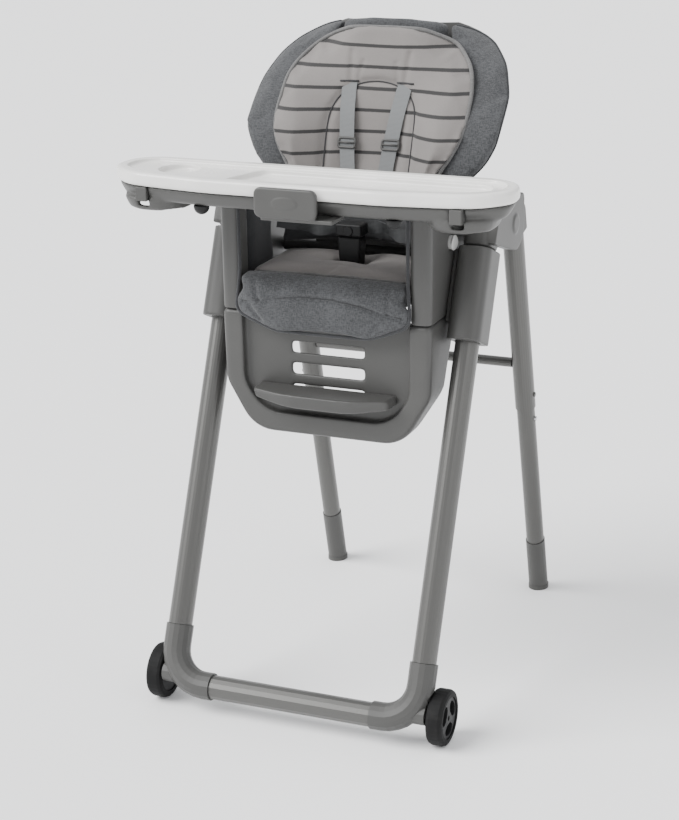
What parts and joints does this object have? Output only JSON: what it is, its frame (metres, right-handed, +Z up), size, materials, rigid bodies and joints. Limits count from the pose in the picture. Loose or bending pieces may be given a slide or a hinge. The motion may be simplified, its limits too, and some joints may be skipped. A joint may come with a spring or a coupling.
{
  "type": "baby high chair",
  "caption": "Folding high chair: padded reclining seat that slides on an A-frame with floor wheels, a sliding tray with a lift-out insert, a footrest and a harness.",
  "frame": {"origin": "on the floor under the middle of the chair's overall box", "axes": "+Z up, the child faces -Y, the child's left hand is at +X"},
  "size_m": [0.686, 0.7534, 1.1172],
  "materials": {
    "shell_grey_plastic": "satin moulded plastic",
    "frame_grey_paint": "satin metallic paint",
    "dark_plastic": "satin",
    "light_grey_plastic": "satin",
    "tray_white_plastic": "soft gloss",
    "black_rubber": "matte",
    "steel": "satin",
    "charcoal_heather": "woven, matte",
    "taupe_fabric": "woven, matte",
    "grey_webbing": "woven webbing",
    "dark_lining": "woven, matte"
  },
  "bodies": {
    "frame": {"front_leg_left": "frame_grey_paint", "front_leg_right": "frame_grey_paint", "corner_moulding_left": "shell_grey_plastic", "corner_moulding_right": "shell_grey_plastic", "hinge_housing_left": "shell_grey_plastic", "hinge_housing_right": "shell_grey_plastic", "hinge_pin_left": "steel", "hinge_pin_right": "steel", "floor_tube": "frame_grey_paint"},
    "rear_frame": {"rear_crossbar": "frame_grey_paint", "rear_hinge_arm_left": "shell_grey_plastic", "rear_hinge_arm_right": "shell_grey_plastic", "rear_leg_upper_left": "frame_grey_paint", "rear_leg_upper_right": "frame_grey_paint", "rear_leg_lower_left": "frame_grey_paint", "rear_leg_lower_right": "frame_grey_paint", "rear_foot_cap_left": "shell_grey_plastic", "rear_foot_cap_right": "shell_grey_plastic"},
    "seat": {"lower_shell": "shell_grey_plastic", "seat_bucket": "shell_grey_plastic", "side_fairing_left": "shell_grey_plastic", "side_fairing_right": "shell_grey_plastic", "height_sleeve_left": "shell_grey_plastic", "height_sleeve_right": "shell_grey_plastic", "crotch_post": "dark_plastic", "harness_buckle": "dark_plastic", "seat_pad": "taupe_fabric", "calf_flap": "charcoal_heather", "side_lining_left": "dark_lining", "side_lining_right": "dark_lining", "lap_belt": "grey_webbing", "recline_axle": "steel"},
    "back": {"back_shell": "shell_grey_plastic", "back_cover": "charcoal_heather", "back_wing_left": "charcoal_heather", "back_wing_right": "charcoal_heather", "body_support_insert": "taupe_fabric", "shoulder_strap_left": "grey_webbing", "shoulder_strap_right": "grey_webbing", "strap_adjuster_left": "shell_grey_plastic", "strap_adjuster_right": "shell_grey_plastic"},
    "tray": {"tray_base": "shell_grey_plastic", "tray_clip_left": "shell_grey_plastic", "tray_clip_right": "shell_grey_plastic", "tray_knob_left": "dark_plastic", "tray_knob_right": "dark_plastic"},
    "tray_top": {"tray_insert": "tray_white_plastic"},
    "tray_handle": {"tray_release_handle": "shell_grey_plastic"},
    "footrest": {"footrest": "shell_grey_plastic"},
    "buckle_press": {"buckle_button": "light_grey_plastic"},
    "wheel_left": {"tyre_left": "black_rubber", "wheel_hub_left": "shell_grey_plastic"},
    "lever_left": {"height_lever_left": "dark_plastic"},
    "seat_button_left": {"seat_release_button_left": "light_grey_plastic"},
    "snap_left": {"leg_snap_button_left": "steel"},
    "wheel_right": {"tyre_right": "black_rubber", "wheel_hub_right": "shell_grey_plastic"},
    "lever_right": {"height_lever_right": "dark_plastic"},
    "seat_button_right": {"seat_release_button_right": "light_grey_plastic"},
    "snap_right": {"leg_snap_button_right": "steel"}
  },
  "joints": [
    {"name": "rear_fold", "type": "hinge", "parent": "frame", "child": "rear_frame", "pos_m": [0, 0.045, 0.79], "axis": [1, 0, 0], "range_deg": [-44, 0]},
    {"name": "seat_height", "type": "slide", "parent": "frame", "child": "seat", "axis": [0, 0.3947, 0.9188], "range_m": [-0.17, 0], "deforming": ["back_wing_left", "back_wing_right"]},
    {"name": "back_recline", "type": "hinge", "parent": "seat", "child": "back", "pos_m": [0, 0.045, 0.725], "axis": [-1, 0, 0], "range_deg": [0, 25]},
    {"name": "tray_slide", "type": "slide", "parent": "seat", "child": "tray", "axis": [0, -1, 0], "range_m": [0, 0.28]},
    {"name": "insert_lift", "type": "slide", "parent": "tray", "child": "tray_top", "axis": [0, 0, 1], "range_m": [0, 0.1]},
    {"name": "tray_release", "type": "slide", "parent": "tray", "child": "tray_handle", "axis": [0, -1, 0], "range_m": [0, 0.008], "stiffness_N_per_m": 600, "springref_m": -0.002},
    {"name": "footrest_pull", "type": "slide", "parent": "seat", "child": "footrest", "axis": [0, -1, 0], "range_m": [0, 0.045]},
    {"name": "buckle_press", "type": "slide", "parent": "seat", "child": "buckle_press", "axis": [0, 1, 0], "range_m": [0, 0.003], "stiffness_N_per_m": 500, "springref_m": -0.002},
    {"name": "lever_squeeze_left", "type": "slide", "parent": "seat", "child": "lever_left", "axis": [0, -0.9188, 0.3947], "range_m": [0, 0.006], "stiffness_N_per_m": 400, "springref_m": -0.002},
    {"name": "seat_button_press_left", "type": "slide", "parent": "seat", "child": "seat_button_left", "axis": [-1, 0, 0], "range_m": [0, 0.003], "stiffness_N_per_m": 500, "springref_m": -0.002},
    {"name": "snap_press_left", "type": "slide", "parent": "rear_frame", "child": "snap_left", "axis": [-1, 0, 0], "range_m": [0, 0.0025], "stiffness_N_per_m": 500, "springref_m": -0.002},
    {"name": "wheel_spin_left", "type": "hinge", "parent": "frame", "child": "wheel_left", "pos_m": [0.254, -0.3205, 0.047], "axis": [1, 0, 0], "continuous": true},
    {"name": "lever_squeeze_right", "type": "slide", "parent": "seat", "child": "lever_right", "axis": [0, -0.9188, 0.3947], "range_m": [0, 0.006], "stiffness_N_per_m": 400, "springref_m": -0.002},
    {"name": "seat_button_press_right", "type": "slide", "parent": "seat", "child": "seat_button_right", "axis": [1, 0, 0], "range_m": [0, 0.003], "stiffness_N_per_m": 500, "springref_m": -0.002},
    {"name": "snap_press_right", "type": "slide", "parent": "rear_frame", "child": "snap_right", "axis": [1, 0, 0], "range_m": [0, 0.0025], "stiffness_N_per_m": 500, "springref_m": -0.002},
    {"name": "wheel_spin_right", "type": "hinge", "parent": "frame", "child": "wheel_right", "pos_m": [-0.254, -0.3205, 0.047], "axis": [1, 0, 0], "continuous": true}
  ]
}
